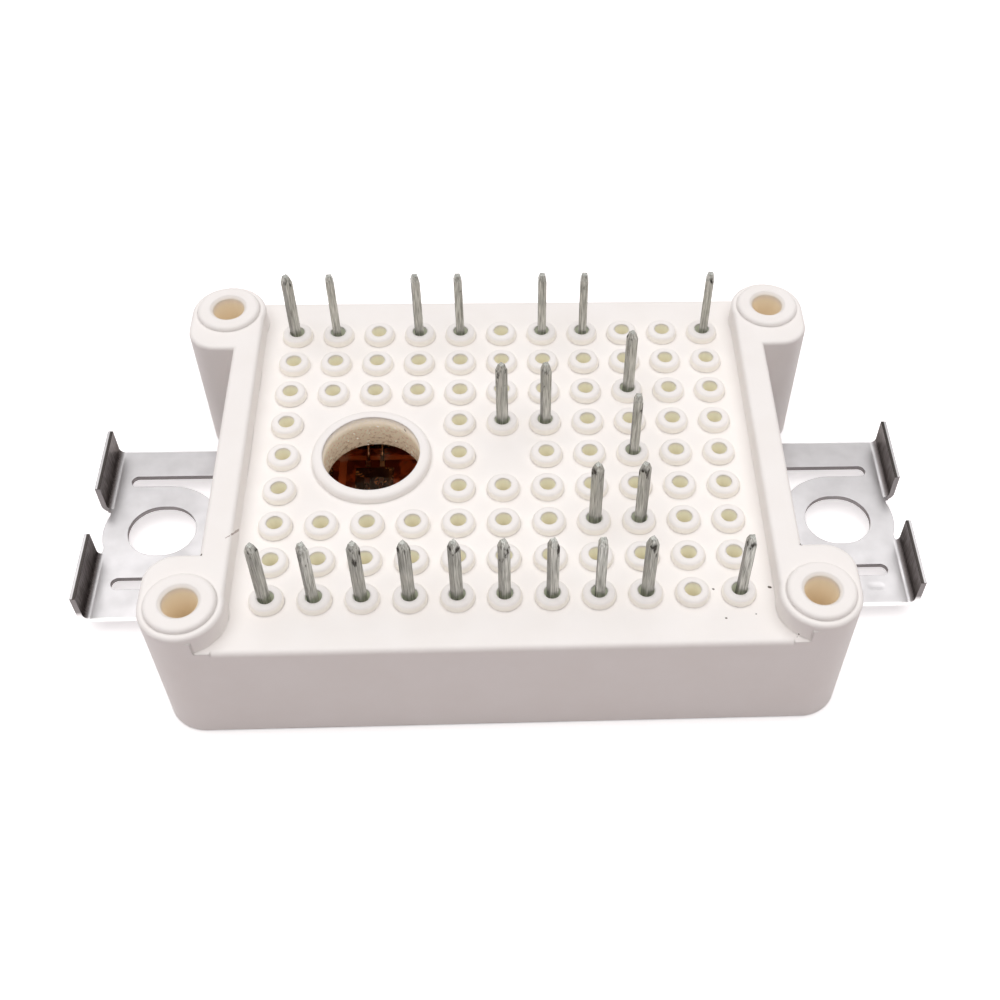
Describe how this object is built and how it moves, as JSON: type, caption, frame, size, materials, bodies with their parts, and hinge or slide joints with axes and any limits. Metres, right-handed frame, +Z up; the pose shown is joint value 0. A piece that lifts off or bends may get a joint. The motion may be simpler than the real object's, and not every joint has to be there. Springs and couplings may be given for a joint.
{
  "type": "igbt module",
  "caption": "Low white power module with solder pins on a 3.2 mm grid, four board posts and two slotted steel spring clamps for the heat-sink screws.",
  "frame": {"origin": "centre of the module's base, on the heat sink's face", "axes": "+X along the two clamps, to the right-hand clamp; +Y from the plain front wall to the back; +Z up, the way the pins point"},
  "size_m": [0.0628, 0.0338, 0.0162],
  "materials": {
    "housing": "moulded, fine satin, warm off-white",
    "clamp_steel": "stamped stainless spring sheet, satin",
    "pin_tin": "drawn square copper wire, dull tinned",
    "sleeve_tin": "turned copper sleeve, tinned",
    "ceramic": "fired alumina, matt",
    "copper": "bonded copper sheet, satin",
    "transistor_silicon": "metallised silicon, satin",
    "diode_silicon": "metallised silicon, satin",
    "rectifier_silicon": "metallised silicon, satin",
    "thermistor": "sintered body with metal ends",
    "bond_aluminium": "drawn soft wire",
    "gel": "clear soft silicone gel, faint amber"
  },
  "bodies": {
    "root": {"housing": "housing", "clamp_left": "clamp_steel", "clamp_right": "clamp_steel", "ceramic_plate": "ceramic", "lower_copper": "copper", "upper_copper": "copper", "transistor_chips": "transistor_silicon", "freewheel_chips": "diode_silicon", "rectifier_chips": "rectifier_silicon", "thermistor": "thermistor", "bond_wires": "bond_aluminium", "pin_sleeves": "sleeve_tin", "gel": "gel", "pin_01": "pin_tin", "pin_02": "pin_tin", "pin_03": "pin_tin", "pin_04": "pin_tin", "pin_05": "pin_tin", "pin_06": "pin_tin", "pin_07": "pin_tin", "pin_08": "pin_tin", "pin_09": "pin_tin", "pin_10": "pin_tin", "pin_11": "pin_tin", "pin_12": "pin_tin", "pin_13": "pin_tin", "pin_14": "pin_tin", "pin_15": "pin_tin", "pin_16": "pin_tin", "pin_17": "pin_tin", "pin_18": "pin_tin", "pin_19": "pin_tin", "pin_20": "pin_tin", "pin_21": "pin_tin", "pin_22": "pin_tin", "pin_23": "pin_tin"}
  },
  "joints": []
}
